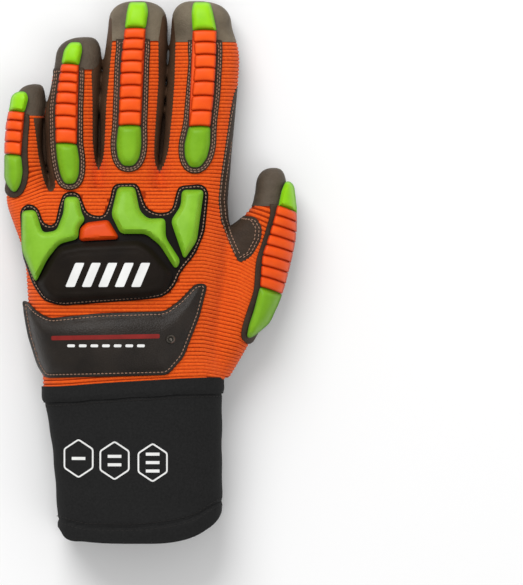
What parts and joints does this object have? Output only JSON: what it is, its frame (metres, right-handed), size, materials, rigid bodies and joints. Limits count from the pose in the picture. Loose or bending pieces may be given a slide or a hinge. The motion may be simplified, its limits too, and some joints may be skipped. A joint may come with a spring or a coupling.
{
  "type": "impact glove",
  "caption": "Left-hand work glove with moulded impact guards on the back, leather palm and finger caps, padded wrist panel, neoprene cuff and pull tab",
  "frame": {"origin": "middle of the glove's box, on the surface that it lies on", "axes": "+X to the thumb side, +Y to the fingertips, +Z out of the back of the hand"},
  "size_m": [0.148, 0.2716, 0.0472],
  "materials": {
    "knit": "ribbed knit",
    "palm_leather": "dull grain with grip dots",
    "leather": "dull grain",
    "suede": "pebbled, stitched",
    "neoprene": "fine knit face",
    "green_rubber": "moulded satin",
    "orange_rubber": "moulded satin",
    "black_rubber": "moulded matt",
    "pad_leather": "soft satin",
    "webbing": "woven",
    "steel": "dark satin"
  },
  "bodies": {
    "root": {"hand_back": "knit", "palm_shell": "palm_leather", "back_little": "knit", "back_ring": "knit", "back_middle": "knit", "back_index": "knit", "back_thumb": "knit", "palm_little": "palm_leather", "palm_ring": "palm_leather", "palm_middle": "palm_leather", "palm_index": "palm_leather", "palm_thumb": "palm_leather", "fork_little_ring": "leather", "fork_ring_middle": "leather", "fork_middle_index": "leather", "index_side_band": "leather", "keystone_patch": "leather", "knuckle_base": "black_rubber", "knuckle_plate": "black_rubber", "knuckle_guard_left": "green_rubber", "knuckle_guard_middle": "green_rubber", "knuckle_guard_index": "green_rubber", "knuckle_bridge": "orange_rubber", "wrist_pad": "pad_leather", "wrist_rivet": "steel", "palm_patch_upper": "suede", "palm_patch_lower": "suede", "cuff_band": "neoprene", "cuff": "neoprene", "cuff_hem": "neoprene", "tab_strap": "webbing", "tab_label": "orange_rubber", "tab_loop": "black_rubber", "cap_little": "leather", "guard_base_little": "leather", "guard_tip_little": "green_rubber", "guard_ribs_little": "orange_rubber", "guard_root_little": "green_rubber", "cap_ring": "leather", "guard_base_ring": "leather", "guard_tip_ring": "green_rubber", "guard_ribs_ring": "orange_rubber", "guard_root_ring": "green_rubber", "cap_middle": "leather", "guard_base_middle": "leather", "guard_tip_middle": "green_rubber", "guard_ribs_middle": "orange_rubber", "guard_root_middle": "green_rubber", "cap_index": "leather", "guard_base_index": "leather", "guard_tip_index": "green_rubber", "guard_ribs_index": "orange_rubber", "guard_root_index": "green_rubber", "cap_thumb": "leather", "guard_base_thumb": "leather", "guard_tip_thumb": "green_rubber", "guard_ribs_thumb": "orange_rubber", "guard_root_thumb": "green_rubber"}
  },
  "joints": []
}
